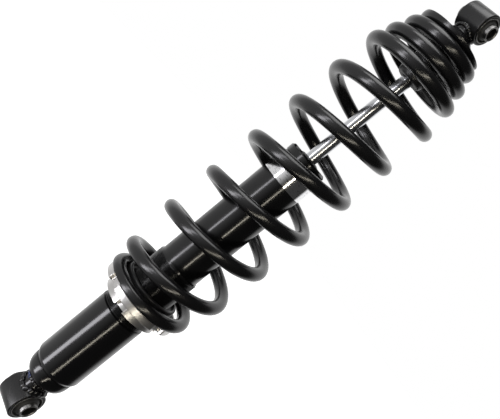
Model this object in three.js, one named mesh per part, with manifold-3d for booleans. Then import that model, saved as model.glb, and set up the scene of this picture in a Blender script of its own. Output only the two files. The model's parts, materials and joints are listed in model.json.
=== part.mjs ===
// Coil-over gas damper: bushed eye, threaded body, adjustable spring seat, coil spring and rod.
// Millimetres, +Z up along the damper, origin at the centre of the lower eye, eye bolts along Y.
import * as THREE from 'three';
import { mergeVertices } from 'three/addons/utils/BufferGeometryUtils.js';
import Module from 'manifold-3d';

const wasm = await Module();
wasm.setup();

// ---- driving dimensions ----
const GAP = 0.3;                 // clearance kept between touching pieces
const ROUND = 32;                // facets round a turned piece
const FINE_ROUND = 24;           // facets round a small turned piece

const LOWER_EYE = { z: 0, loopR: 18, wall: 3, width: 28, shellWall: 1, rubberWall: 4.4, sleeveLength: 39.4, boreR: 6.5 };
const UPPER_EYE = { z: 532, loopR: 14.5, wall: 2.6, width: 25, shellWall: 0.9, rubberWall: 3.1, sleeveLength: 36, boreR: 5.1 };

const NECK = { r: 12.8, top: 24.2 };
const END_CAP = { bottom: 24.5, top: 44, footR: 14.8, rimR: 23.1, spigotR: 18.7, spigotTop: 55 };
const TUBE = { bottom: 44.3, top: 334, lowerR: 25.4, threadR: 23.7, upperR: 22.5, boreR: 19, chamfer: 3 };
const THREAD = { bottom: 129, top: 197.5, pitch: 1.5 };
const TOP_CAP = { top: 349.2, r: 21.2, spigotBottom: 330.6 };
const LABEL = { bottom: 317, top: 332, thickness: 0.3, arcDegrees: 210, startDegrees: 108 };

// firstSlot, turnZeroDegrees and leanDegrees are angles about +Z, counted from +X.
const LOCK_RING = { bottom: 138.4, height: 9.4, r: 31.8, floorR: 26.6, slots: 4, slotDegrees: 20, firstSlot: 193 };
const PRELOAD_NUT = { bottom: 148.1, height: 7.4, r: 42, floorR: 38, slots: 4, slotDegrees: 19, firstSlot: 254 };
const SPRING_GUIDE = { flangeR: 37.5, flangeHeight: 1, hubR: 30.6, height: 11 };

const SPRING = {
  wireR: 6.4, bodyR: 48.6, lowerR: 39.6, lastR: 26.7, groundTop: 505.8,
  firstTurn: 0.4, lastTurn: 11.25, turnZeroDegrees: 213, stepsPerTurn: 16, wireSides: 8,
  leanDegrees: 303, lowerLean: 1.7, upperLean: -1.8,
};

const ROD = { r: 6.25, bottom: 252, top: 515.2 };
const BUMP_STOP = { bottom: 457.2, top: 499.7, r: 14.6, waistR: 12.4 };
const RETAINER = { bottom: 500, flange: 506.1, top: 515.2, r: 22, pilotR: 16, hubR: 11.8, thickness: 1.5 };
const STEM = { bottom: 515.5, r: 9.6 };

const SEAL_HEAD = { bottom: 300, top: 328, r: 18.7 };
const PISTON = { bottom: 264.1, top: 282, r: 18.4, bandR: 18.7 };
const FLOATING_PISTON = { bottom: 76, height: 14, r: 18.7, grooveR: 16.4, grooveHeight: 4 };

// ---- materials ----
const paint = (color, roughness, metalness) => new THREE.MeshStandardMaterial({ color, roughness, metalness });
const blackPaint = () => paint(0x111113, 0.3, 0.1);
const blackCoating = () => paint(0x17171a, 0.28, 0.1);
const satinAluminium = () => paint(0xc9cbcc, 0.35, 0.9);
const chrome = () => paint(0xd8dadd, 0.06, 1);
const steel = () => paint(0x9a9c9e, 0.35, 1);
const rubber = () => paint(0x121212, 0.8, 0);
const polymer = () => paint(0x1b1b1c, 0.5, 0);
const bronze = () => paint(0x8a6a3c, 0.4, 0.8);
const foil = () => paint(0xc8cacc, 0.4, 0.6);

// ---- geometry helpers ----
const group = new THREE.Group();

function add(name, geometry, material) {
  const mesh = new THREE.Mesh(geometry, material);
  mesh.name = name;
  group.add(mesh);
}

// Profile points are [radius, height], outer side upwards and inner side downwards.
function turned(profile, segments = ROUND) {
  const points = profile.map(([r, h]) => new THREE.Vector2(r, h));
  return new THREE.LatheGeometry(points, segments).rotateX(Math.PI / 2);
}

function ringProfile(innerR, outerR, bottom, top) {
  return [[innerR, bottom], [outerR, bottom], [outerR, top], [innerR, top], [innerR, bottom]];
}

function ring(innerR, outerR, bottom, top, segments = ROUND) {
  return turned(ringProfile(innerR, outerR, bottom, top), segments);
}

// A ring round the eye's bolt axis, centred on the eye.
function eyeRing(eye, innerR, outerR, length, segments = ROUND) {
  const points = ringProfile(innerR, outerR, -length / 2, length / 2).map(([r, h]) => new THREE.Vector2(r, h));
  return new THREE.LatheGeometry(points, segments).translate(0, 0, eye.z);
}

function toManifold(geometry) {
  const bare = geometry.clone();
  bare.deleteAttribute('normal');
  bare.deleteAttribute('uv');
  const merged = mergeVertices(bare);
  const vertProperties = Float32Array.from(merged.attributes.position.array);
  const triVerts = Uint32Array.from(merged.index.array);
  return new wasm.Manifold(new wasm.Mesh({ numProp: 3, vertProperties, triVerts }));
}

function subtract(geometry, cutter) {
  const mesh = toManifold(geometry).subtract(toManifold(cutter)).getMesh();
  const result = new THREE.BufferGeometry();
  result.setAttribute('position', new THREE.BufferAttribute(mesh.vertProperties, 3));
  result.setIndex(new THREE.BufferAttribute(mesh.triVerts, 1));
  result.computeVertexNormals();
  return result;
}

// The outline of a round nut with spanner slots cut into its rim, as an extruded ring.
function slottedRing({ bottom, height, r, floorR, slots, slotDegrees, firstSlot }) {
  const arcSteps = Math.round(ROUND / slots) - 1;
  const pitchAngle = (2 * Math.PI) / slots;
  const slotAngle = THREE.MathUtils.degToRad(slotDegrees);
  const outline = [];
  for (let slot = 0; slot < slots; slot += 1) {
    const start = THREE.MathUtils.degToRad(firstSlot) + slot * pitchAngle;
    outline.push(onCircle(floorR, start), onCircle(floorR, start + slotAngle));
    for (let step = 0; step <= arcSteps; step += 1) {
      const along = step / arcSteps;
      outline.push(onCircle(r, start + slotAngle + along * (pitchAngle - slotAngle)));
    }
  }
  const shape = new THREE.Shape(outline);
  shape.holes.push(circlePath(TUBE.threadR + GAP, ROUND));
  return new THREE.ExtrudeGeometry(shape, { depth: height, bevelEnabled: false }).translate(0, 0, bottom);
}

function onCircle(r, angle) {
  return new THREE.Vector2(r * Math.cos(angle), r * Math.sin(angle));
}

function circlePath(r, sides) {
  const points = [];
  for (let side = 0; side < sides; side += 1) {
    points.push(onCircle(r, (-2 * Math.PI * side) / sides));
  }
  return new THREE.Path(points);
}

// ---- eyes: forged loop, pressed-in bush (shell, rubber, sleeve) ----
function addEye(side, eye) {
  const loopInnerR = eye.loopR - eye.wall;
  const shellOuterR = loopInnerR - GAP;
  const shellInnerR = shellOuterR - eye.shellWall;
  const rubberOuterR = shellInnerR - GAP;
  const rubberInnerR = rubberOuterR - eye.rubberWall;
  const sleeveOuterR = rubberInnerR - GAP;
  add(`${side}_eye_loop`, eyeRing(eye, loopInnerR, eye.loopR, eye.width), blackPaint());
  add(`${side}_bush_shell`, eyeRing(eye, shellInnerR, shellOuterR, eye.width), steel());
  add(`${side}_bush_rubber`, eyeRing(eye, rubberInnerR, rubberOuterR, eye.width + 3), rubber());
  add(`${side}_bush_sleeve`, eyeRing(eye, eye.boreR, sleeveOuterR, eye.sleeveLength, FINE_ROUND), steel());
}

// Solid drum on the eye's axis, used to cut a saddle in the neck that meets the loop.
function eyeSaddle(eye) {
  return new THREE.CylinderGeometry(eye.loopR + GAP, eye.loopR + GAP, 4 * eye.loopR, ROUND).translate(0, 0, eye.z);
}

function addNecks() {
  const lower = turned([[0, 0], [NECK.r, 0], [NECK.r, NECK.top], [0, NECK.top]], FINE_ROUND);
  add('lower_eye_neck', subtract(lower, eyeSaddle(LOWER_EYE)), blackPaint());
  const upper = turned([[0, STEM.bottom], [STEM.r, STEM.bottom], [STEM.r, UPPER_EYE.z], [0, UPPER_EYE.z]], FINE_ROUND);
  add('upper_eye_stem', subtract(upper, eyeSaddle(UPPER_EYE)), blackPaint());
}

// ---- damper body ----
function addEndCap() {
  const { bottom, top, footR, rimR, spigotR, spigotTop } = END_CAP;
  const height = top - bottom;
  const profile = [
    [0, bottom], [footR, bottom], [rimR - 2.5, bottom + 0.28 * height], [rimR - 0.6, bottom + 0.5 * height],
    [rimR, bottom + 0.75 * height], [rimR, top], [spigotR, top], [spigotR, spigotTop], [0, spigotTop],
  ];
  add('end_cap', turned(profile), blackPaint());
}

function addTube() {
  const { bottom, top, lowerR, threadR, upperR, boreR, chamfer } = TUBE;
  const profile = [
    [boreR, bottom], [lowerR - chamfer / 2, bottom], [lowerR, bottom + chamfer], [lowerR, THREAD.bottom],
    [threadR, THREAD.bottom + THREAD.pitch], [threadR, THREAD.top - THREAD.pitch], [upperR, THREAD.top],
    [upperR, top], [boreR, top], [boreR, bottom],
  ];
  add('body_tube', turned(profile), blackPaint());
}

function addTopCap() {
  const { top, r, spigotBottom } = TOP_CAP;
  const shoulder = TUBE.top + GAP;
  const boreR = ROD.r + GAP;
  const wiperSeatR = 10.8;
  const wiperSeat = top - 5;
  const profile = [
    [boreR, spigotBottom], [SEAL_HEAD.r, spigotBottom], [SEAL_HEAD.r, shoulder], [r, shoulder], [r, top - 3],
    [r - 2, top], [wiperSeatR, top], [wiperSeatR, wiperSeat], [boreR, wiperSeat], [boreR, spigotBottom],
  ];
  add('top_cap', turned(profile), blackPaint());
  add('rod_wiper', ring(boreR, wiperSeatR - GAP, wiperSeat + GAP, top + 1.2, FINE_ROUND), rubber());
}

function addLabel() {
  const innerR = TUBE.upperR + GAP;
  const outerR = innerR + LABEL.thickness;
  const steps = 18;
  const start = THREE.MathUtils.degToRad(LABEL.startDegrees);
  const sweep = THREE.MathUtils.degToRad(LABEL.arcDegrees);
  const outer = [];
  const inner = [];
  for (let step = 0; step <= steps; step += 1) {
    const angle = start + (sweep * step) / steps;
    outer.push(onCircle(outerR, angle));
    inner.unshift(onCircle(innerR, angle));
  }
  const shape = new THREE.Shape([...outer, ...inner]);
  const height = LABEL.top - LABEL.bottom;
  add('body_label', new THREE.ExtrudeGeometry(shape, { depth: height, bevelEnabled: false })
    .translate(0, 0, LABEL.bottom), foil());
}

// ---- parts inside the top of the tube ----
function addSealHead() {
  const { bottom, top, r } = SEAL_HEAD;
  const boreR = ROD.r + GAP;
  const sealSeatR = 12.4;
  const sealSeat = top - 9;
  const grooveR = r - 2;
  const groove = bottom + 10;
  const grooveTop = groove + 4;
  const profile = [
    [boreR, bottom], [r, bottom], [r, groove], [grooveR, groove], [grooveR, grooveTop], [r, grooveTop], [r, top],
    [sealSeatR, top], [sealSeatR, sealSeat], [boreR, sealSeat], [boreR, bottom],
  ];
  add('seal_head', turned(profile, FINE_ROUND), satinAluminium());
  add('rod_seal', ring(boreR, sealSeatR - GAP, sealSeat + GAP, top - 1, FINE_ROUND), rubber());
  add('seal_head_o_ring', ring(grooveR + GAP, r, groove + GAP, grooveTop - GAP, FINE_ROUND), rubber());
  add('retaining_ring', ring(r - 4, r, top + GAP, TOP_CAP.spigotBottom - GAP, FINE_ROUND), steel());
}

// ---- piston rod and what is clamped on it ----
function addRod() {
  const { r, bottom, top } = ROD;
  add('piston_rod', turned([[0, bottom], [r, bottom], [r, top], [0, top]], FINE_ROUND), chrome());
}

function addPistonStack() {
  const boreR = ROD.r + GAP;
  const { bottom, top, r, bandR } = PISTON;
  const bandSeatR = r - 1.5;
  const bandBottom = bottom + 5;
  const bandTop = top - 5;
  const shimHeight = 2.2;
  const profile = [
    [boreR, bottom], [r, bottom], [r, bandBottom], [bandSeatR, bandBottom], [bandSeatR, bandTop], [r, bandTop],
    [r, top], [boreR, top], [boreR, bottom],
  ];
  const rebound = top + GAP;
  const spacer = rebound + shimHeight + GAP;
  const compression = bottom - GAP - shimHeight;
  const nutTop = compression - GAP;
  const nutHeight = 6.5;
  const nutAcrossR = 11;
  add('piston', turned(profile, FINE_ROUND), steel());
  add('piston_band', ring(bandSeatR + GAP, bandR, bandBottom + GAP, bandTop - GAP, FINE_ROUND), bronze());
  add('rebound_shims', ring(boreR, 14, rebound, rebound + shimHeight, FINE_ROUND), steel());
  add('compression_shims', ring(boreR, 15.5, compression, compression + shimHeight, FINE_ROUND), steel());
  add('top_out_spacer', ring(boreR, 10, spacer, SEAL_HEAD.bottom - GAP, FINE_ROUND), polymer());
  add('piston_nut', hexNut(nutAcrossR, nutTop - nutHeight, nutHeight), steel());
}

function hexNut(cornerR, bottom, height) {
  const corners = 6;
  const outline = [];
  for (let corner = 0; corner < corners; corner += 1) {
    outline.push(onCircle(cornerR, (2 * Math.PI * corner) / corners));
  }
  const shape = new THREE.Shape(outline);
  shape.holes.push(circlePath(ROD.r + GAP, FINE_ROUND));
  return new THREE.ExtrudeGeometry(shape, { depth: height, bevelEnabled: false }).translate(0, 0, bottom);
}

function addBumpStop() {
  const boreR = ROD.r + GAP;
  const { bottom, top, r, waistR } = BUMP_STOP;
  const bellows = 3;
  const bellowHeight = (top - bottom) / bellows;
  const outer = [[boreR, bottom]];
  for (let bellow = 0; bellow < bellows; bellow += 1) {
    const z = bottom + bellow * bellowHeight;
    outer.push([waistR, z], [r, z + 0.25 * bellowHeight], [r, z + 0.75 * bellowHeight]);
  }
  outer.push([waistR, top], [boreR, top], [boreR, bottom]);
  add('bump_stop', turned(outer, FINE_ROUND), rubber());
}

function addRetainer() {
  const boreR = ROD.r + GAP;
  const { bottom, flange, top, r, pilotR, hubR, thickness } = RETAINER;
  const profile = [
    [boreR, bottom], [pilotR, bottom], [pilotR, flange], [r, flange], [r, flange + thickness],
    [hubR, top], [boreR, top], [boreR, bottom],
  ];
  add('upper_spring_retainer', turned(profile), blackPaint());
}

// ---- spring seat, rings and spring ----
function seatFloor() {
  return PRELOAD_NUT.bottom + PRELOAD_NUT.height + GAP;
}

function addSpringGuide() {
  const { flangeR, flangeHeight, hubR, height } = SPRING_GUIDE;
  const boreR = TUBE.threadR + GAP;
  const bottom = seatFloor();
  const top = bottom + height;
  const profile = [
    [boreR, bottom], [flangeR, bottom], [flangeR, bottom + flangeHeight], [hubR, bottom + flangeHeight],
    [hubR - 1, top], [boreR + 2, top], [boreR, top - 2], [boreR, bottom],
  ];
  add('lower_spring_guide', turned(profile), polymer());
}

const ramp = (value, low, high) => THREE.MathUtils.clamp((value - low) / (high - low), 0, 1);

// Rise per turn along the spring: a closed lower coil, open middle coils and close upper coils.
function springPitch(turn) {
  const closedPitch = 3.5;
  const openPitch = 49;
  const upperOpenPitch = 43.7;
  const closePitch = 16.3;
  const endPitch = 13.3;
  const opening = closedPitch + (openPitch - closedPitch) * ramp(turn, 0.85, 1.95);
  const easing = (upperOpenPitch - openPitch) * ramp(turn, 4.3, 7.25);
  const closing = (closePitch - upperOpenPitch) * ramp(turn, 7.45, 7.8);
  return opening + easing + closing + (endPitch - closePitch) * ramp(turn, 9.4, 9.9);
}

// A narrow lower coil, a body that narrows slightly upwards, and a tapered top.
function springRadius(turn) {
  const { bodyR, lowerR, lastR, lastTurn } = SPRING;
  const topBodyR = 46.2;
  const closeR = 29.6;
  const flare = (bodyR - lowerR) * THREE.MathUtils.smoothstep(turn, 1, 2.4);
  const narrowing = (topBodyR - bodyR) * ramp(turn, 2.6, 7.5);
  const taper = (closeR - topBodyR) * ramp(turn, 7.5, 10.4);
  return lowerR + flare + narrowing + taper + (lastR - closeR) * ramp(turn, 10.4, lastTurn);
}

// The spring sits a little off the damper's axis, one way below and the other way above.
function springLean(turn) {
  const { lowerLean, upperLean } = SPRING;
  return lowerLean + (upperLean - lowerLean) * ramp(turn, 4, 9);
}

class SpringCurve extends THREE.Curve {
  constructor(startZ) {
    super();
    const samplesPerTurn = 200;
    this.turns = SPRING.lastTurn - SPRING.firstTurn;
    const count = Math.round(this.turns * samplesPerTurn);
    this.heights = [startZ];
    for (let sample = 0; sample < count; sample += 1) {
      const middle = SPRING.firstTurn + ((sample + 0.5) * this.turns) / count;
      this.heights.push(this.heights[sample] + (springPitch(middle) * this.turns) / count);
    }
  }

  getPoint(along, target = new THREE.Vector3()) {
    const turn = SPRING.firstTurn + along * this.turns;
    const place = along * (this.heights.length - 1);
    const lower = Math.min(Math.floor(place), this.heights.length - 2);
    const z = THREE.MathUtils.lerp(this.heights[lower], this.heights[lower + 1], place - lower);
    const angle = THREE.MathUtils.degToRad(SPRING.turnZeroDegrees) + 2 * Math.PI * turn;
    const r = springRadius(turn);
    const aside = onCircle(springLean(turn), THREE.MathUtils.degToRad(SPRING.leanDegrees));
    return target.set(aside.x + r * Math.cos(angle), aside.y + r * Math.sin(angle), z);
  }
}

// Both ends are ground flat, so the wire starts and ends half way through a ground face.
function addSpring() {
  const { wireR, stepsPerTurn, wireSides, groundTop } = SPRING;
  const groundBottom = seatFloor() + SPRING_GUIDE.flangeHeight + GAP;
  const curve = new SpringCurve(groundBottom + 0.2);
  const section = new THREE.Shape(circlePath(wireR, wireSides).getPoints());
  const steps = Math.round(curve.turns * stepsPerTurn);
  const wire = new THREE.ExtrudeGeometry(section, { steps, extrudePath: curve, bevelEnabled: false });
  const belowSeat = new THREE.BoxGeometry(200, 200, 40).translate(0, 0, groundBottom - 20);
  const aboveRetainer = new THREE.BoxGeometry(200, 200, 40).translate(0, 0, groundTop + 20);
  add('coil_spring', subtract(subtract(wire, belowSeat), aboveRetainer), blackCoating());
}

// ---- gas chamber divider ----
function addFloatingPiston() {
  const { bottom, height, r, grooveR, grooveHeight } = FLOATING_PISTON;
  const top = bottom + height;
  const groove = bottom + (height - grooveHeight) / 2;
  const grooveTop = groove + grooveHeight;
  const profile = [
    [0, bottom], [r, bottom], [r, groove], [grooveR, groove], [grooveR, grooveTop], [r, grooveTop], [r, top], [0, top],
  ];
  add('floating_piston', turned(profile, FINE_ROUND), satinAluminium());
  add('floating_piston_o_ring', ring(grooveR + GAP, r, groove + GAP, grooveTop - GAP, FINE_ROUND), rubber());
}

addEye('lower', LOWER_EYE);
addEye('upper', UPPER_EYE);
addNecks();
addEndCap();
addTube();
addTopCap();
addLabel();
addSealHead();
addRod();
addPistonStack();
addBumpStop();
addRetainer();
add('lock_ring', slottedRing(LOCK_RING), satinAluminium());
add('preload_nut', slottedRing(PRELOAD_NUT), satinAluminium());
addSpringGuide();
addSpring();
addFloatingPiston();

export default group;
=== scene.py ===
"""Coil-over gas damper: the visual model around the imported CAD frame. Metres, +Z up along the damper."""
import json
import math

import bmesh
import bpy
from mathutils import Matrix, Vector


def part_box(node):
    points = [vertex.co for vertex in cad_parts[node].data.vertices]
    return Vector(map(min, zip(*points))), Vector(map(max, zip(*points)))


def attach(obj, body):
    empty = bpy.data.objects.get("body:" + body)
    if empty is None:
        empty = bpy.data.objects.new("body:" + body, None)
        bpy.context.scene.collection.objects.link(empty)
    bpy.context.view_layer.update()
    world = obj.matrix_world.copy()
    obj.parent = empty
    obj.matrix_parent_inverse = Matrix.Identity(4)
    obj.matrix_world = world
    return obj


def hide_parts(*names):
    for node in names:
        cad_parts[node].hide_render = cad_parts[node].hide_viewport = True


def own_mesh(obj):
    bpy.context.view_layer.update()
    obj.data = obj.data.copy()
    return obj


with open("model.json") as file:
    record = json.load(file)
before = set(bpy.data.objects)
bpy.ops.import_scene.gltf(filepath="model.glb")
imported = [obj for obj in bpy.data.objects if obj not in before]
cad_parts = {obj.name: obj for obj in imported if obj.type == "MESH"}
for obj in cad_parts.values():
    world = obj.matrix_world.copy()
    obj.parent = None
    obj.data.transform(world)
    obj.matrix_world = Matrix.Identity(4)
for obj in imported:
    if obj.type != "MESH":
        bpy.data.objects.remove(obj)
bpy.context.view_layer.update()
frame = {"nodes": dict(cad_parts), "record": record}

MM = 0.001
TURN = 2 * math.pi

# ---- camera, as the photograph was taken ----
CAMERA_AZIMUTH = math.radians(-57)
CAMERA_ELEVATION = math.radians(7)
CAMERA_ROLL = math.radians(50.8)
CAMERA_DISTANCE = 0.583
CAMERA_LENS = 46.8
AIM_HEIGHT = 0.2802
AIM_SIDE = 0.0006

TO_CAMERA = Vector((math.sin(CAMERA_AZIMUTH), -math.cos(CAMERA_AZIMUTH), 0))
CAMERA_RIGHT = Vector((math.cos(CAMERA_AZIMUTH), math.sin(CAMERA_AZIMUTH), 0))
CAMERA_ANGLE = math.atan2(TO_CAMERA.y, TO_CAMERA.x)


# ---- sizes that the CAD uses and no box in the frame gives ----
TUBE_BORE = 19 * MM
TUBE_UPPER_RADIUS = 22.5 * MM
THREAD_LOW, THREAD_HIGH = 129 * MM, 197.5 * MM
THREAD_PITCH = 1.5 * MM
CAP_FOOT_RADIUS = 14.8 * MM
GUIDE_HUB_RADIUS = 30.6 * MM
LABEL_START, LABEL_SWEEP = math.radians(108), math.radians(210)

# ---- sizes of the Blender pieces alone ----
THREAD_ROOT_RADIUS = 23.1 * MM
THREAD_DEPTH = 0.9 * MM
CAP_BORE = 5 * MM
RING_BORE = 24.35 * MM
GUIDE_BORE = 24.4 * MM


# ---- sizes read from the frame ----
def bottom_of(node):
    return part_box(node)[0][2]


def top_of(node):
    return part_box(node)[1][2]


def radius_of(node):
    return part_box(node)[1][0]


# ---- mesh helpers ----
def new_piece(name, verts, faces, smooth_angle=35):
    mesh = bpy.data.meshes.new(name)
    mesh.from_pydata([tuple(v) for v in verts], [], faces)
    mesh.validate()
    bm = bmesh.new()
    bm.from_mesh(mesh)
    bmesh.ops.remove_doubles(bm, verts=bm.verts, dist=1e-7)
    bmesh.ops.recalc_face_normals(bm, faces=bm.faces)
    bm.to_mesh(mesh)
    bm.free()
    mesh.shade_smooth()
    mesh.set_sharp_from_angle(angle=math.radians(smooth_angle))
    piece = bpy.data.objects.new(name, mesh)
    bpy.context.scene.collection.objects.link(piece)
    return piece


def place(piece, body, slot, material, *nodes):
    """Gives a piece its material, the CAD nodes it stands for and the body it rides on."""
    piece.data.materials.append(material)
    if nodes:
        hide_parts(*nodes)
    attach(piece, body)


def rounded(profile, radius, steps=4):
    """The closed outline with each corner turned into an arc of about the given radius."""
    result = []
    count = len(profile)
    for index, corner in enumerate(profile):
        here = Vector(corner)
        before = Vector(profile[index - 1]) - here
        after = Vector(profile[(index + 1) % count]) - here
        reach = min(radius, 0.45 * before.length, 0.45 * after.length)
        start = here + before.normalized() * reach
        end = here + after.normalized() * reach
        for step in range(steps + 1):
            part = step / steps
            bend = start.lerp(here, part).lerp(here.lerp(end, part), part)
            result.append((max(bend.x, 0), bend.y))
    return result


def turned_faces(segments, rows):
    """Quads that join equal closed outlines round an axis, the last one to the first."""
    faces = []
    for segment in range(segments):
        following = (segment + 1) % segments
        for row in range(rows):
            ahead = (row + 1) % rows
            faces.append((segment * rows + row, following * rows + row,
                          following * rows + ahead, segment * rows + ahead))
    return faces


def turned(name, profile, segments=128, along="Z", centre=(0, 0, 0), smooth_angle=35):
    """A closed (radius, height) outline turned round the Z or Y axis through centre."""
    verts = []
    for segment in range(segments):
        angle = TURN * segment / segments
        for radius, height in profile:
            across = (radius * math.cos(angle), radius * math.sin(angle))
            point = (across[0], across[1], height) if along == "Z" else (across[0], height, across[1])
            verts.append(Vector(point) + Vector(centre))
    return new_piece(name, verts, turned_faces(segments, len(profile)), smooth_angle)


def ring_outline(inner, outer, low, high):
    return [(inner, low), (outer, low), (outer, high), (inner, high)]


def swept(name, sections, closed, smooth_angle=50):
    """A tube through rings of vertices, one ring per section; its ends are capped if it is open."""
    sides = len(sections[0])
    verts = [corner for section in sections for corner in section]
    count = len(sections)
    faces = []
    for step in range(count if closed else count - 1):
        following = (step + 1) % count
        for side in range(sides):
            beside = (side + 1) % sides
            faces.append((step * sides + side, step * sides + beside,
                          following * sides + beside, following * sides + side))
    if not closed:
        faces.append(tuple(range(sides)))
        faces.append(tuple((count - 1) * sides + side for side in range(sides)))
    return new_piece(name, verts, faces, smooth_angle)


# ---- material helpers ----
def new_material(name):
    material = bpy.data.materials.new(name)
    material.use_nodes = True
    shader = material.node_tree.nodes["Principled BSDF"]
    return material, material.node_tree.nodes, material.node_tree.links, shader


def object_coordinates(nodes):
    return nodes.new("ShaderNodeTexCoord").outputs["Object"]


def noise(nodes, links, scale, detail=3, stretch=(1, 1, 1)):
    """Noise in object space, at the given scale per metre, stretched along the axes."""
    mapping = nodes.new("ShaderNodeMapping")
    mapping.inputs["Scale"].default_value = stretch
    links.new(object_coordinates(nodes), mapping.inputs["Vector"])
    texture = nodes.new("ShaderNodeTexNoise")
    texture.inputs["Scale"].default_value = scale
    texture.inputs["Detail"].default_value = detail
    links.new(mapping.outputs["Vector"], texture.inputs["Vector"])
    return texture.outputs["Fac"]


def spread(nodes, links, value, low, high, source=(0.3, 0.7)):
    """Maps a value from its usual span to low..high."""
    ranged = nodes.new("ShaderNodeMapRange")
    ranged.inputs["From Min"].default_value = source[0]
    ranged.inputs["From Max"].default_value = source[1]
    ranged.inputs["To Min"].default_value = low
    ranged.inputs["To Max"].default_value = high
    links.new(value, ranged.inputs["Value"])
    return ranged.outputs["Result"]


def mix_colours(nodes, links, factor, first, second):
    mix = nodes.new("ShaderNodeMix")
    mix.data_type = "RGBA"
    mix.inputs["A"].default_value = (*first, 1)
    mix.inputs["B"].default_value = (*second, 1)
    links.new(factor, mix.inputs["Factor"])
    return mix.outputs["Result"]


def bump(nodes, links, shader, height, strength, distance):
    node = nodes.new("ShaderNodeBump")
    node.inputs["Strength"].default_value = strength
    node.inputs["Distance"].default_value = distance
    links.new(height, node.inputs["Height"])
    links.new(node.outputs["Normal"], shader.inputs["Normal"])


def add_up(nodes, links, first, second, weight):
    node = nodes.new("ShaderNodeMath")
    node.operation = "MULTIPLY_ADD"
    node.inputs[1].default_value = weight
    links.new(second, node.inputs[0])
    links.new(first, node.inputs[2])
    return node.outputs["Value"]


# ---- materials ----
BLACK = ((0.0028, 0.0028, 0.0032), (0.0045, 0.0045, 0.005))
DAB_BLUE = (0.008, 0.025, 0.12, 1)


def black_paint(name, dark, light, rough, peel_scale, peel_strength):
    """Baked black enamel: nearly even in tone and gloss, with a trace of orange peel."""
    material, nodes, links, shader = new_material(name)
    tone = noise(nodes, links, 60)
    links.new(mix_colours(nodes, links, tone, dark, light), shader.inputs["Base Color"])
    handling = noise(nodes, links, 35, detail=6)
    links.new(spread(nodes, links, handling, *rough), shader.inputs["Roughness"])
    peel = noise(nodes, links, peel_scale, detail=2)
    bump(nodes, links, shader, peel, peel_strength, 0.0002)
    return material


def marked_paint(name, peel_scale, peel_strength):
    """The black enamel round the neck, with the small dab of blue inspection paint across the cap weld."""
    material = black_paint(name, *BLACK, (0.15, 0.2), peel_scale, peel_strength)
    nodes, links = material.node_tree.nodes, material.node_tree.links
    shader = nodes["Principled BSDF"]
    dab_angle = CAMERA_ANGLE - math.radians(52)
    dab_from_axis, dab_height = 15 * MM, 25 * MM
    dab = Vector((dab_from_axis * math.cos(dab_angle), dab_from_axis * math.sin(dab_angle), dab_height))
    offset = nodes.new("ShaderNodeVectorMath")
    offset.operation = "DISTANCE"
    offset.inputs[1].default_value = dab
    links.new(object_coordinates(nodes), offset.inputs[0])
    dab_edge = (7.2 * MM, 8.6 * MM)
    ragged = add_up(nodes, links, offset.outputs["Value"], noise(nodes, links, 500), 6 * MM)
    inside = spread(nodes, links, ragged, 1, 0, dab_edge)
    mix = nodes.new("ShaderNodeMix")
    mix.data_type = "RGBA"
    links.new(shader.inputs["Base Color"].links[0].from_socket, mix.inputs["A"])
    mix.inputs["B"].default_value = DAB_BLUE
    links.new(inside, mix.inputs["Factor"])
    links.new(mix.outputs["Result"], shader.inputs["Base Color"])
    return material


def powder_coat():
    """The spring's thick gloss powder coat: slow waves under a very fine pebble."""
    material, nodes, links, shader = new_material("spring_powder_coat")
    tone = noise(nodes, links, 45, detail=5)
    links.new(mix_colours(nodes, links, tone, (0.004, 0.004, 0.0045), (0.0065, 0.0065, 0.007)),
              shader.inputs["Base Color"])
    links.new(spread(nodes, links, noise(nodes, links, 90, detail=4), 0.2, 0.25), shader.inputs["Roughness"])
    pebble = noise(nodes, links, 700, detail=1)
    waves = noise(nodes, links, 120, detail=1)
    bump(nodes, links, shader, add_up(nodes, links, waves, pebble, 0.15), 0.03, 0.00012)
    return material


def turned_metal(name, dark, light, rough, line_scale, line_strength, along="Z"):
    """Bare metal off the lathe: fine lines round the axis, and slow changes of tone."""
    material, nodes, links, shader = new_material(name)
    shader.inputs["Metallic"].default_value = 1
    stretch = (1, 1, line_scale) if along == "Z" else (1, line_scale, 1)
    lines = noise(nodes, links, 40, detail=6, stretch=stretch)
    tone = noise(nodes, links, 90, detail=4)
    links.new(mix_colours(nodes, links, add_up(nodes, links, tone, lines, 0.3), dark, light),
              shader.inputs["Base Color"])
    links.new(spread(nodes, links, lines, *rough), shader.inputs["Roughness"])
    bump(nodes, links, shader, lines, line_strength, 0.0001)
    return material


def moulded(name, dark, light, rough, grain_scale, grain_strength):
    """Rubber or polymer: matt, with a fine moulded grain and a dry bloom."""
    material, nodes, links, shader = new_material(name)
    bloom = noise(nodes, links, 150, detail=6)
    links.new(mix_colours(nodes, links, bloom, dark, light), shader.inputs["Base Color"])
    links.new(spread(nodes, links, bloom, *rough), shader.inputs["Roughness"])
    bump(nodes, links, shader, noise(nodes, links, grain_scale, detail=3), grain_strength, 0.0003)
    return material


def label_foil():
    """Blank silver sticker: bright foil with faint worn rows and slight creases."""
    material, nodes, links, shader = new_material("label_foil")
    shader.inputs["Metallic"].default_value = 1
    rows = noise(nodes, links, 260, detail=2, stretch=(1, 1, 3.2))
    links.new(mix_colours(nodes, links, spread(nodes, links, rows, 0, 1, (0.56, 0.7)), (0.88, 0.88, 0.89),
                          (0.42, 0.42, 0.43)), shader.inputs["Base Color"])
    brushed = noise(nodes, links, 60, detail=5, stretch=(1, 1, 30))
    links.new(spread(nodes, links, brushed, 0.1, 0.14), shader.inputs["Roughness"])
    bump(nodes, links, shader, noise(nodes, links, 160, detail=3), 0.025, 0.0004)
    return material


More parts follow.
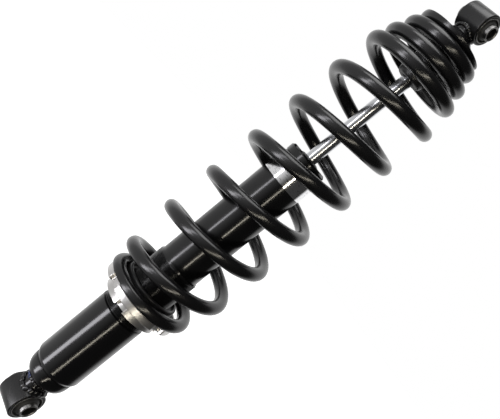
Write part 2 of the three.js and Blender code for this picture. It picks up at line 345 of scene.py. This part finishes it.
ENAMEL = black_paint("gloss_enamel", *BLACK, (0.15, 0.18), 400, 0.015)
LOOP_ENAMEL = black_paint("loop_enamel", (0.0035, 0.0035, 0.004), (0.0055, 0.0055, 0.006), (0.25, 0.3),
                          900, 0.04)
WELD_ENAMEL = marked_paint("weld_enamel", 420, 0.6)
CAP_ENAMEL = marked_paint("cap_enamel", 500, 0.12)
POWDER = powder_coat()
ALUMINIUM = turned_metal("turned_aluminium", (0.54, 0.53, 0.52), (0.64, 0.63, 0.62), (0.32, 0.38), 60, 0.04)
CHROME = turned_metal("hard_chrome", (0.6, 0.61, 0.63), (0.7, 0.71, 0.73), (0.2, 0.23), 12, 0.004)
PLATED = turned_metal("plated_steel", (0.13, 0.13, 0.125), (0.24, 0.235, 0.23), (0.3, 0.42), 70, 0.2,
                      along="Y")
STEEL = turned_metal("inner_steel", (0.42, 0.42, 0.42), (0.62, 0.62, 0.62), (0.2, 0.4), 70, 0.2)
BRONZE = turned_metal("bronze_band", (0.36, 0.22, 0.09), (0.5, 0.33, 0.15), (0.3, 0.5), 60, 0.2)
RUBBER = moulded("bush_rubber", (0.01, 0.01, 0.01), (0.03, 0.03, 0.03), (0.5, 0.75), 900, 0.3)
SEAL = moulded("seal_rubber", (0.008, 0.008, 0.008), (0.02, 0.02, 0.02), (0.35, 0.55), 1200, 0.15)
POLYMER = moulded("black_polymer", (0.004, 0.004, 0.0045), (0.009, 0.009, 0.01), (0.3, 0.45), 1100, 0.15)
FOIL = label_foil()

SLOT_MATERIALS = {
    "gloss_black": ENAMEL, "spring_coating": POWDER, "aluminium_rings": ALUMINIUM, "chromed_rod": CHROME,
    "plated_steel": STEEL, "bush_rubber": RUBBER, "seal_rubber": SEAL, "black_polymer": POLYMER,
    "bronze_band": BRONZE, "label_foil": FOIL,
}


def finish_carried_nodes():
    """Every CAD node keeps its shape and gets the finished material of its slot."""
    for subpart in frame["record"]["subparts"]:
        node = frame["nodes"][subpart["node"]]
        if not node.data.materials:
            node.data.materials.append(None)
        for material_slot in node.material_slots:
            material_slot.link = "OBJECT"
            material_slot.material = SLOT_MATERIALS[subpart["material_slot"]]


# ---- eyes ----
def eye_centre(side):
    low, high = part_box(f"{side}_eye_loop")
    return (0, 0, (low[2] + high[2]) / 2)


def half_length(node):
    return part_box(node)[1][1]


def make_eye(side, body, sleeve_body, bore, wall):
    centre = eye_centre(side)
    loop_half = half_length(f"{side}_eye_loop")
    loop_outer = radius_of(f"{side}_eye_loop")
    loop_inner = loop_outer - wall
    shell_outer = loop_inner
    shell_inner = shell_outer - 1.1 * MM
    sleeve_outer = radius_of(f"{side}_bush_sleeve")
    sleeve_half = half_length(f"{side}_bush_sleeve")

    loop = turned(f"{side}_loop_forging",
                  rounded(ring_outline(loop_inner, loop_outer, -loop_half, loop_half), 1.1 * MM, 5),
                  160, "Y", centre)
    place(loop, body, "gloss_black", LOOP_ENAMEL, f"{side}_eye_loop")

    shell_half = loop_half + 0.5 * MM
    shell = turned(f"{side}_bush_outer_shell",
                   rounded(ring_outline(shell_inner, shell_outer, -shell_half, shell_half), 0.3 * MM, 3),
                   128, "Y", centre)
    place(shell, body, "plated_steel", PLATED, f"{side}_bush_shell")

    rubber = turned(f"{side}_bush_moulding", bush_outline(sleeve_outer, shell_inner, loop_half, sleeve_half),
                    128, "Y", centre)
    place(rubber, body, "bush_rubber", RUBBER, f"{side}_bush_rubber")

    sleeve = turned(f"{side}_sleeve_tube",
                    rounded([(bore, -sleeve_half + 0.8 * MM), (bore + 0.7 * MM, -sleeve_half),
                             (sleeve_outer, -sleeve_half), (sleeve_outer, sleeve_half),
                             (bore + 0.7 * MM, sleeve_half), (bore, sleeve_half - 0.8 * MM)], 0.35 * MM, 3),
                    128, "Y", centre)
    place(sleeve, sleeve_body, "plated_steel", PLATED, f"{side}_bush_sleeve")


def bush_outline(inner, outer, loop_half, sleeve_half):
    """Rubber that dips into a moat by the shell and climbs the sleeve in a soft collar."""
    width = outer - inner
    moat = loop_half - 1.6 * MM
    crest = (loop_half + sleeve_half) / 2 - 0.4 * MM
    one_end = []
    steps = 12
    for step in range(steps + 1):
        part = step / steps
        lift = 0.5 + 0.5 * math.cos(math.pi * part)
        one_end.append((inner + 0.05 * MM + (width - 0.1 * MM) * part, moat + (crest - moat) * lift))
    other_end = [(radius, -height) for radius, height in reversed(one_end)]
    return one_end + other_end


def saddle_height(x, loop_radius):
    return math.sqrt(max(loop_radius ** 2 - x ** 2, 0))


def make_saddle_post(name, side, body, flare, slot_nodes, material, upper):
    """The post between an eye loop and what it is welded to, cut to the loop's curve at its foot."""
    centre = eye_centre(side)[2]
    loop_radius = radius_of(f"{side}_eye_loop") - 0.5 * MM
    post_radius = radius_of(slot_nodes[0])
    far_end = bottom_of(slot_nodes[0]) - 0.2 * MM if upper else top_of(slot_nodes[0]) + 0.3 * MM
    sign = -1 if upper else 1
    segments, rows = 96, 14
    verts = []
    for row in range(rows + 1):
        part = row / rows
        waist = post_radius * (1 + flare * (2 * part - 1) ** 4)
        for segment in range(segments):
            angle = TURN * segment / segments
            x, y = waist * math.cos(angle), waist * math.sin(angle)
            foot = centre + sign * saddle_height(x, loop_radius)
            verts.append((x, y, foot + (far_end - foot) * part))
    faces = []
    for row in range(rows):
        for segment in range(segments):
            beside = (segment + 1) % segments
            faces.append((row * segments + segment, row * segments + beside,
                          (row + 1) * segments + beside, (row + 1) * segments + segment))
    faces.append(tuple(range(segments)))
    faces.append(tuple(rows * segments + segment for segment in range(segments)))
    post = new_piece(name, verts, faces)
    place(post, body, "gloss_black", material, *slot_nodes)


def make_weld(name, body, path, bead, ripples, seed):
    """A laid weld bead along a closed path: overlapping scallops, slightly uneven."""
    count = len(path)
    sides = 14
    sections = []
    for index, point in enumerate(path):
        ahead = path[(index + 1) % count]
        behind = path[index - 1]
        direction = (ahead - behind).normalized()
        outward = Vector((point.x, point.y, 0)).normalized()
        across = direction.cross(outward).normalized()
        outward = across.cross(direction).normalized()
        phase = (index / count * ripples) % 1
        wander = (math.sin(seed + 5 * TURN * index / count)
                  + 0.6 * math.sin(seed * 2 + 11 * TURN * index / count))
        size = bead * (0.8 + 0.25 * math.sqrt(1 - (2 * phase - 1) ** 2) + 0.09 * wander)
        ring = []
        for side in range(sides):
            angle = TURN * side / sides
            ring.append(point + outward * (size * math.cos(angle)) + across * (1.25 * size * math.sin(angle)))
        sections.append(ring)
    weld = swept(name, sections, True)
    place(weld, body, "gloss_black", WELD_ENAMEL)


def saddle_path(radius, loop_radius, centre, sign, count=480):
    path = []
    for index in range(count):
        angle = TURN * index / count
        x, y = radius * math.cos(angle), radius * math.sin(angle)
        path.append(Vector((x, y, centre + sign * saddle_height(x, loop_radius))))
    return path


def circle_path(radius, height, count=480):
    return [Vector((radius * math.cos(TURN * index / count), radius * math.sin(TURN * index / count), height))
            for index in range(count)]


# ---- damper body ----
def make_end_cap():
    """A forged cap that swells from the neck in a soft cone to a short straight rim."""
    low, high = bottom_of("end_cap"), bottom_of("body_tube") + 0.1 * MM
    foot, rim, bore = CAP_FOOT_RADIUS, radius_of("end_cap"), CAP_BORE
    outline = rounded([
        (bore, low), (foot, low), (rim - 2.5 * MM, low + 5.5 * MM), (rim - 0.6 * MM, low + 10 * MM),
        (rim, low + 14.5 * MM), (rim, high), (bore, high),
    ], 3 * MM, 6)
    cap = turned("end_cap_forging", outline, 160, smooth_angle=28)
    place(cap, "damper_body", "gloss_black", CAP_ENAMEL, "end_cap")


def thread_lift(angle, height, low, high):
    """How far the thread stands out at a place on the tube; it runs out over one pitch at each end."""
    phase = (height / THREAD_PITCH - angle / TURN) % 1
    ridge = 1 - abs(2 * phase - 1)
    crest = min(max((ridge - 0.2) / 0.6, 0), 1)
    fade = min(max((height - low) / THREAD_PITCH, 0), 1) * min(max((high - height) / THREAD_PITCH, 0), 1)
    return THREAD_DEPTH * crest * fade


def make_tube():
    low, high = bottom_of("body_tube"), top_of("body_tube")
    lower_radius = radius_of("body_tube")
    upper_radius = TUBE_UPPER_RADIUS
    root_radius = THREAD_ROOT_RADIUS
    thread_low, thread_high = THREAD_LOW, THREAD_HIGH
    outline = [(TUBE_BORE, low), (lower_radius - 2.4 * MM, low), (lower_radius - 2 * MM, low + 0.4 * MM),
               (lower_radius - 0.7 * MM, low + 3 * MM), (lower_radius - 0.2 * MM, low + 4.1 * MM),
               (lower_radius, low + 5 * MM)]
    outline += [(lower_radius, thread_low - 2 * MM), (lower_radius, thread_low - 0.6 * MM),
                (root_radius, thread_low)]
    thread_start = len(outline) - 1
    rows = round((thread_high - thread_low) / THREAD_PITCH * 8)
    for row in range(1, rows):
        outline.append((root_radius, thread_low + (thread_high - thread_low) * row / rows))
    thread_end = len(outline)
    outline += [(root_radius, thread_high), (upper_radius, thread_high + 0.7 * MM),
                (upper_radius, thread_high + 2 * MM), (upper_radius, high - 1.2 * MM),
                (upper_radius - 0.4 * MM, high - 0.3 * MM), (upper_radius - 1 * MM, high), (TUBE_BORE, high)]
    segments = 120
    verts = []
    for segment in range(segments):
        angle = TURN * segment / segments
        for row, (radius, height) in enumerate(outline):
            if thread_start <= row <= thread_end:
                radius += thread_lift(angle, height, thread_low, thread_high)
            verts.append((radius * math.cos(angle), radius * math.sin(angle), height))
    tube = new_piece("threaded_tube", verts, turned_faces(segments, len(outline)), 60)
    place(tube, "damper_body", "gloss_black", ENAMEL, "body_tube")


def make_top_cap():
    low, high = top_of("body_tube") + 0.05 * MM, top_of("top_cap")
    radius = radius_of("top_cap")
    rod_radius = radius_of("piston_rod")
    lip = 11 * MM
    outline = rounded([
        (rod_radius + 0.35 * MM, low), (radius, low), (radius, low + 5 * MM),
        (radius - 0.5 * MM, low + 5.4 * MM), (radius - 0.5 * MM, low + 6.2 * MM),
        (radius, low + 6.6 * MM), (radius, high - 2.2 * MM), (radius - 2.2 * MM, high),
        (lip, high), (lip, high - 1.4 * MM), (rod_radius + 0.35 * MM, high - 1.4 * MM),
    ], 0.5 * MM)
    cap = turned("dust_cap", outline)
    place(cap, "damper_body", "gloss_black", ENAMEL, "top_cap")
    wiper_top = top_of("rod_wiper")
    wiper = turned("wiper_lip", rounded([
        (rod_radius + 0.05 * MM, high - 1.3 * MM), (lip - 0.2 * MM, high - 1.3 * MM),
        (lip - 0.5 * MM, high + 0.2 * MM), (rod_radius + 1.6 * MM, wiper_top),
        (rod_radius + 0.05 * MM, wiper_top)], 0.3 * MM))
    place(wiper, "damper_body", "seal_rubber", SEAL, "rod_wiper")


def make_label():
    """A blank foil sticker that wraps part of the way round the tube, with rounded corners."""
    low, high = bottom_of("body_label"), top_of("body_label")
    inner = TUBE_UPPER_RADIUS + 0.02 * MM
    outer = inner + 0.18 * MM
    start, sweep = LABEL_START, LABEL_SWEEP
    corner = 2.2 * MM
    columns, rows = 120, 16
    verts = []
    for radius in (inner, outer):
        for column in range(columns + 1):
            along = sweep * inner * column / columns
            from_end = min(along, sweep * inner - along)
            inset = 0
            if from_end < corner:
                inset = corner - math.sqrt(max(corner ** 2 - (corner - from_end) ** 2, 0))
            angle = start + sweep * column / columns
            for row in range(rows + 1):
                height = low + inset + (high - low - 2 * inset) * row / rows
                verts.append((radius * math.cos(angle), radius * math.sin(angle), height))
    across = rows + 1
    layer = (columns + 1) * across
    faces = []
    for column in range(columns):
        for row in range(rows):
            first = column * across + row
            quad = (first, first + across, first + across + 1, first + 1)
            faces.append(quad)
            faces.append(tuple(layer + corner_index for corner_index in quad))
    rim = [column * across for column in range(columns + 1)]
    rim += [columns * across + row for row in range(1, across)]
    rim += [column * across + rows for column in range(columns - 1, -1, -1)]
    rim += list(range(rows - 1, 0, -1))
    for index, first in enumerate(rim):
        second = rim[(index + 1) % len(rim)]
        faces.append((first, second, layer + second, layer + first))
    label = new_piece("blank_label", verts, faces)
    place(label, "damper_body", "label_foil", FOIL, "body_label")


# ---- adjuster rings ----
def make_slotted_ring(name, node, body, floor_radius, slots, slot_degrees, first_slot, edge):
    """A round nut with spanner slots milled into its rim, a bored centre and broken edges."""
    low, high = bottom_of(node), top_of(node)
    outer = max(-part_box(node)[0][0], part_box(node)[1][0], -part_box(node)[0][1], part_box(node)[1][1])
    bore = RING_BORE
    pitch = TURN / slots
    slot_angle = math.radians(slot_degrees)
    floor_steps, rim_steps = 5, round(150 / slots)
    draft = math.radians(0.4)
    rim = []
    for slot_index in range(slots):
        start = math.radians(first_slot) + slot_index * pitch
        for step in range(floor_steps + 1):
            rim.append((floor_radius, start + draft + (slot_angle - 2 * draft) * step / floor_steps))
        for step in range(rim_steps + 1):
            rim.append((outer, start + slot_angle + (pitch - slot_angle) * step / rim_steps))
    count = len(rim)
    verts = []
    for height in (low, high):
        verts += [(radius * math.cos(angle), radius * math.sin(angle), height) for radius, angle in rim]
        verts += [(bore * math.cos(angle), bore * math.sin(angle), height) for _, angle in rim]
    faces = []
    top = 2 * count
    for index in range(count):
        beside = (index + 1) % count
        faces.append((index, beside, count + beside, count + index))
        faces.append((top + index, top + count + index, top + count + beside, top + beside))
        faces.append((index, top + index, top + beside, beside))
        faces.append((count + index, count + beside, top + count + beside, top + count + index))
    ring = new_piece(name, verts, faces, 40)
    bevel = ring.modifiers.new("edge", "BEVEL")
    bevel.width = edge
    bevel.segments = 3
    bevel.limit_method = "ANGLE"
    bevel.angle_limit = math.radians(40)
    place(ring, body, "aluminium_rings", ALUMINIUM, node)


def make_spring_guide():
    low, high = bottom_of("lower_spring_guide") - 0.2 * MM, top_of("lower_spring_guide")
    flange = radius_of("lower_spring_guide")
    hub, bore = GUIDE_HUB_RADIUS, GUIDE_BORE
    flange_top = low + 1.3 * MM
    outline = rounded([(bore, low), (flange, low), (flange, flange_top), (hub + 0.5 * MM, flange_top),
                       (hub, low + 4 * MM), (hub - 0.4 * MM, high - 1 * MM), (hub - 1.6 * MM, high),
                       (hub - 3.2 * MM, high), (hub - 3.6 * MM, high - 4 * MM), (bore, high - 4 * MM)],
                      0.6 * MM)
    guide = turned("spring_guide_moulding", outline)
    place(guide, "spring_seat", "black_polymer", POLYMER, "lower_spring_guide")


# ---- coil spring, with the same rise, radius and lean as the CAD solid ----
WIRE_RADIUS = 6.4 * MM
SPRING_FIRST, SPRING_LAST = 0.4, 11.25
SPRING_ZERO = math.radians(213)
LEAN_ANGLE = math.radians(303)
LOWER_LEAN, UPPER_LEAN = 1.7, -1.8
CLOSED_PITCH, OPEN_PITCH, UPPER_OPEN_PITCH, CLOSE_PITCH, END_PITCH = 3.5, 49, 43.7, 16.3, 13.3
LOWER_RADIUS, BODY_RADIUS, TOP_BODY_RADIUS, CLOSE_RADIUS, LAST_RADIUS = 39.6, 48.6, 46.2, 29.6, 26.7


def ramp(value, low, high):
    return min(max((value - low) / (high - low), 0), 1)


def smooth_ramp(value, low, high):
    part = ramp(value, low, high)
    return part * part * (3 - 2 * part)


def spring_pitch(turn):
    """Rise per turn: a closed lower coil, open middle coils and close upper coils."""
    opening = CLOSED_PITCH + (OPEN_PITCH - CLOSED_PITCH) * ramp(turn, 0.85, 1.95)
    easing = (UPPER_OPEN_PITCH - OPEN_PITCH) * ramp(turn, 4.3, 7.25)
    closing = (CLOSE_PITCH - UPPER_OPEN_PITCH) * ramp(turn, 7.45, 7.8)
    return (opening + easing + closing + (END_PITCH - CLOSE_PITCH) * ramp(turn, 9.4, 9.9)) * MM


def spring_radius(turn):
    """A narrow lower coil, a body that narrows slightly upwards, and a tapered top."""
    flare = (BODY_RADIUS - LOWER_RADIUS) * smooth_ramp(turn, 1, 2.4)
    narrowing = (TOP_BODY_RADIUS - BODY_RADIUS) * ramp(turn, 2.6, 7.5)
    taper = (CLOSE_RADIUS - TOP_BODY_RADIUS) * ramp(turn, 7.5, 10.4)
    ending = (LAST_RADIUS - CLOSE_RADIUS) * ramp(turn, 10.4, SPRING_LAST)
    return (LOWER_RADIUS + flare + narrowing + taper + ending) * MM


def spring_axis(turn):
    """Where the spring's own axis stands: a little to one side below and to the other above."""
    lean = (LOWER_LEAN + (UPPER_LEAN - LOWER_LEAN) * ramp(turn, 4, 9)) * MM
    return Vector((lean * math.cos(LEAN_ANGLE), lean * math.sin(LEAN_ANGLE), 0))


def spring_path(start):
    steps_per_turn = 72
    count = round((SPRING_LAST - SPRING_FIRST) * steps_per_turn)
    step_turns = (SPRING_LAST - SPRING_FIRST) / count
    fine = 20
    height = start
    path = []
    for step in range(count + 1):
        turn = SPRING_FIRST + step * step_turns
        angle = SPRING_ZERO + TURN * turn
        radius = spring_radius(turn)
        path.append(spring_axis(turn) + Vector((radius * math.cos(angle), radius * math.sin(angle), height)))
        for part in range(fine):
            height += spring_pitch(turn + (part + 0.5) * step_turns / fine) * step_turns / fine
    return path


def grind_flat(piece, height, upward, smooth_angle):
    """Cuts away what stands beyond a level plane and closes the cut, as a grinding wheel leaves it."""
    bm = bmesh.new()
    bm.from_mesh(piece.data)
    bmesh.ops.bisect_plane(bm, geom=[*bm.verts, *bm.edges, *bm.faces], plane_co=(0, 0, height),
                           plane_no=(0, 0, upward), clear_outer=True)
    bmesh.ops.holes_fill(bm, edges=[edge for edge in bm.edges if edge.is_boundary], sides=0)
    bmesh.ops.recalc_face_normals(bm, faces=bm.faces)
    bm.to_mesh(piece.data)
    bm.free()
    piece.data.shade_smooth()
    piece.data.set_sharp_from_angle(angle=math.radians(smooth_angle))


def make_spring():
    low, high = bottom_of("coil_spring"), top_of("coil_spring")
    path = spring_path(low + 0.2 * MM)
    count = len(path) - 1
    sides = 28
    sections = []
    for step, point in enumerate(path):
        direction = (path[min(step + 1, count)] - path[max(step - 1, 0)]).normalized()
        outward = Vector((point.x, point.y, 0)).normalized()
        upward = direction.cross(outward).normalized()
        outward = upward.cross(direction).normalized()
        sections.append([point + outward * (WIRE_RADIUS * math.cos(TURN * side / sides))
                         + upward * (WIRE_RADIUS * math.sin(TURN * side / sides)) for side in range(sides)])
    spring = swept("coil_spring_wire", sections, False)
    grind_flat(spring, low, -1, 50)
    grind_flat(spring, high, 1, 50)
    place(spring, "spring_seat", "spring_coating", POWDER, "coil_spring")
    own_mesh(spring)


# ---- rod, bump stop and upper retainer ----
def make_rod():
    low, high = bottom_of("piston_rod"), top_of("piston_rod")
    radius = radius_of("piston_rod")
    outline = rounded([(0, low), (radius, low), (radius, high), (0, high)], 0.6 * MM, 3)
    rod = turned("chromed_rod_bar", outline, 96)
    place(rod, "rod_assembly", "chromed_rod", CHROME, "piston_rod")


def make_bump_stop():
    low, high = bottom_of("bump_stop"), top_of("bump_stop")
    radius = radius_of("bump_stop")
    bore = radius_of("piston_rod") + 0.3 * MM
    groove = radius - 2.6 * MM
    first, second = low + 0.42 * (high - low), low + 0.72 * (high - low)
    outline = rounded([
        (bore, low), (radius - 2.4 * MM, low), (radius - 0.3 * MM, low + 5 * MM), (radius, first - 3 * MM),
        (groove, first), (radius + 0.1 * MM, first + 3 * MM), (radius + 0.1 * MM, second - 3 * MM),
        (groove, second), (radius + 0.2 * MM, second + 3 * MM), (radius + 0.2 * MM, high), (bore, high),
    ], 2.2 * MM, 6)
    stop = turned("bump_stop_moulding", outline)
    place(stop, "rod_assembly", "bush_rubber", POLYMER, "bump_stop")


def make_retainer():
    """The pressed cone that the spring's last coil bears against."""
    low, high = bottom_of("upper_spring_retainer"), top_of("upper_spring_retainer")
    radius = radius_of("upper_spring_retainer")
    bore = radius_of("piston_rod") + 0.2 * MM
    flange = top_of("coil_spring") + 0.2 * MM
    pilot, hub, sheet = 16 * MM, 11.8 * MM, 1.5 * MM
    outline = rounded([
        (bore, low), (pilot, low), (pilot + 0.4 * MM, flange - 0.8 * MM), (pilot + 1.2 * MM, flange),
        (radius, flange), (radius, flange + sheet), (hub + 1 * MM, high - 1 * MM), (hub, high), (bore, high),
    ], 0.7 * MM)
    retainer = turned("retainer_pressing", outline, 160)
    place(retainer, "rod_assembly", "gloss_black", ENAMEL, "upper_spring_retainer")


# ---- studio ----
COOL_WHITE = (0.96, 0.95, 1)
WARM_WHITE = (1, 0.93, 0.78)


def make_camera():
    data = bpy.data.cameras.new("camera")
    data.lens = CAMERA_LENS
    data.clip_start = 0.01
    camera = bpy.data.objects.new("camera", data)
    bpy.context.scene.collection.objects.link(camera)
    aim = Vector((0, 0, AIM_HEIGHT)) + CAMERA_RIGHT * AIM_SIDE
    direction = TO_CAMERA * math.cos(CAMERA_ELEVATION) + Vector((0, 0, math.sin(CAMERA_ELEVATION)))
    look = (-direction).to_track_quat("-Z", "Y").to_matrix().to_4x4()
    camera.matrix_world = Matrix.Translation(aim + direction * CAMERA_DISTANCE) @ look @ Matrix.Rotation(
        CAMERA_ROLL, 4, "Z")
    bpy.context.scene.camera = camera


def make_panel(name, azimuth, elevation, distance, width, height, rise, lean, watts, colour):
    """A soft light panel that faces the damper: azimuth counts from the camera, lean is in its own plane."""
    data = bpy.data.lights.new(name, "AREA")
    data.shape = "RECTANGLE"
    data.size = width
    data.size_y = height
    data.energy = watts
    data.color = colour
    panel = bpy.data.objects.new(name, data)
    bpy.context.scene.collection.objects.link(panel)
    turn = math.radians(azimuth)
    level = TO_CAMERA * math.cos(turn) + CAMERA_RIGHT * math.sin(turn)
    tilt = math.radians(elevation)
    direction = level * math.cos(tilt) + Vector((0, 0, math.sin(tilt)))
    middle = Vector((0, 0, AIM_HEIGHT + rise))
    facing = (-direction).to_track_quat("-Z", "Y").to_matrix().to_4x4()
    panel.matrix_world = (Matrix.Translation(middle + direction * distance) @ facing
                          @ Matrix.Rotation(math.radians(lean), 4, "Z"))
    panel.visible_camera = False


def make_world():
    """White behind the damper, soft grey to its left, dark to its right, and plain white to the camera."""
    world = bpy.data.worlds.new("studio")
    bpy.context.scene.world = world
    world.use_nodes = True
    nodes, links = world.node_tree.nodes, world.node_tree.links
    background = nodes["Background"]
    direction = nodes.new("ShaderNodeTexCoord").outputs["Generated"]
    behind = falloff(nodes, links, direction, TO_CAMERA, (-0.58, 1.0), (-0.26, 0.0))
    beside = falloff(nodes, links, direction, CAMERA_RIGHT, (-0.7, 0.7), (0.25, 0.04))
    brightest = nodes.new("ShaderNodeMath")
    brightest.operation = "MAXIMUM"
    links.new(behind, brightest.inputs[0])
    links.new(beside, brightest.inputs[1])
    plain = nodes.new("ShaderNodeMix")
    plain.data_type = "FLOAT"
    plain.inputs["B"].default_value = 1
    links.new(nodes.new("ShaderNodeLightPath").outputs["Is Camera Ray"], plain.inputs["Factor"])
    links.new(brightest.outputs["Value"], plain.inputs["A"])
    background.inputs["Color"].default_value = (1, 1, 1, 1)
    links.new(plain.outputs["Result"], background.inputs["Strength"])


def falloff(nodes, links, direction, axis, start, end):
    """Goes smoothly between two (reach along axis, brightness) pairs."""
    reach = nodes.new("ShaderNodeVectorMath")
    reach.operation = "DOT_PRODUCT"
    reach.inputs[1].default_value = axis
    links.new(direction, reach.inputs[0])
    level = nodes.new("ShaderNodeMapRange")
    level.interpolation_type = "SMOOTHSTEP"
    level.inputs["From Min"].default_value = start[0]
    level.inputs["From Max"].default_value = end[0]
    level.inputs["To Min"].default_value = start[1]
    level.inputs["To Max"].default_value = end[1]
    links.new(reach.outputs["Value"], level.inputs["Value"])
    return level.outputs["Result"]


def make_floor():
    """A pale floor well below the damper, hidden from reflections and bounced light."""
    half, below = 6, 0.35
    level = bottom_of("lower_eye_loop") - below
    verts = [(-half, -half, level), (half, -half, level), (half, half, level), (-half, half, level)]
    floor = new_piece("floor", verts, [(0, 1, 2, 3)])
    material, nodes, links, shader = new_material("pale_floor")
    grain = noise(nodes, links, 20, detail=4)
    links.new(mix_colours(nodes, links, grain, (0.9, 0.9, 0.9), (0.93, 0.93, 0.93)),
              shader.inputs["Base Color"])
    shader.inputs["Roughness"].default_value = 0.9
    shader.inputs["Specular IOR Level"].default_value = 0
    shader.inputs["Emission Color"].default_value = (1, 1, 1, 1)
    shader.inputs["Emission Strength"].default_value = 0.75
    floor.data.materials.append(material)
    floor.visible_glossy = False
    floor.visible_diffuse = False


finish_carried_nodes()
make_eye("lower", "damper_body", "lower_sleeve", bore=6.5 * MM, wall=3 * MM)
make_eye("upper", "rod_assembly", "upper_sleeve", bore=5.1 * MM, wall=2.6 * MM)
make_saddle_post("lower_neck", "lower", "damper_body", 0.04, ["lower_eye_neck"], WELD_ENAMEL, upper=False)
make_saddle_post("upper_stem", "upper", "rod_assembly", 0.05, ["upper_eye_stem"], ENAMEL, upper=True)
make_weld("lower_loop_weld", "damper_body", saddle_path(13 * MM, 18.1 * MM, centre=0, sign=1),
          bead=2.5 * MM, ripples=15, seed=1.0)
make_weld("lower_cap_weld", "damper_body", circle_path(13.2 * MM, 24 * MM),
          bead=1.6 * MM, ripples=22, seed=2.0)
make_weld("upper_loop_weld", "rod_assembly",
          saddle_path(9.8 * MM, 14.6 * MM, centre=eye_centre("upper")[2], sign=-1),
          bead=1.7 * MM, ripples=20, seed=3.0)
make_end_cap()
make_tube()
make_top_cap()
make_label()
make_slotted_ring("lock_ring_turning", "lock_ring", "lock_ring", floor_radius=26.6 * MM, slots=4,
                  slot_degrees=20, first_slot=193, edge=0.6 * MM)
make_slotted_ring("preload_nut_turning", "preload_nut", "preload_nut", floor_radius=38 * MM, slots=4,
                  slot_degrees=19, first_slot=254, edge=0.8 * MM)
make_spring_guide()
make_spring()
make_rod()
make_bump_stop()
make_retainer()
make_camera()
make_world()
make_floor()
make_panel("left_strip", azimuth=-49.8, elevation=0, distance=1.25, width=0.34, height=1.48,
           rise=-1.15, lean=-17, watts=15.8, colour=COOL_WHITE)
make_panel("left_upper_strip", azimuth=-40, elevation=0, distance=1.25, width=0.16, height=1.07,
           rise=0.09, lean=-3, watts=4.4, colour=COOL_WHITE)
make_panel("warm_strip", azimuth=19.3, elevation=0, distance=1.25, width=0.085, height=2.55,
           rise=-0.63, lean=-7, watts=9, colour=WARM_WHITE)
make_panel("top_soft", azimuth=-60, elevation=65, distance=1.3, width=0.9, height=0.9,
           rise=0, lean=0, watts=9, colour=(1, 1, 1))
bpy.context.scene.view_settings.view_transform = "Standard"
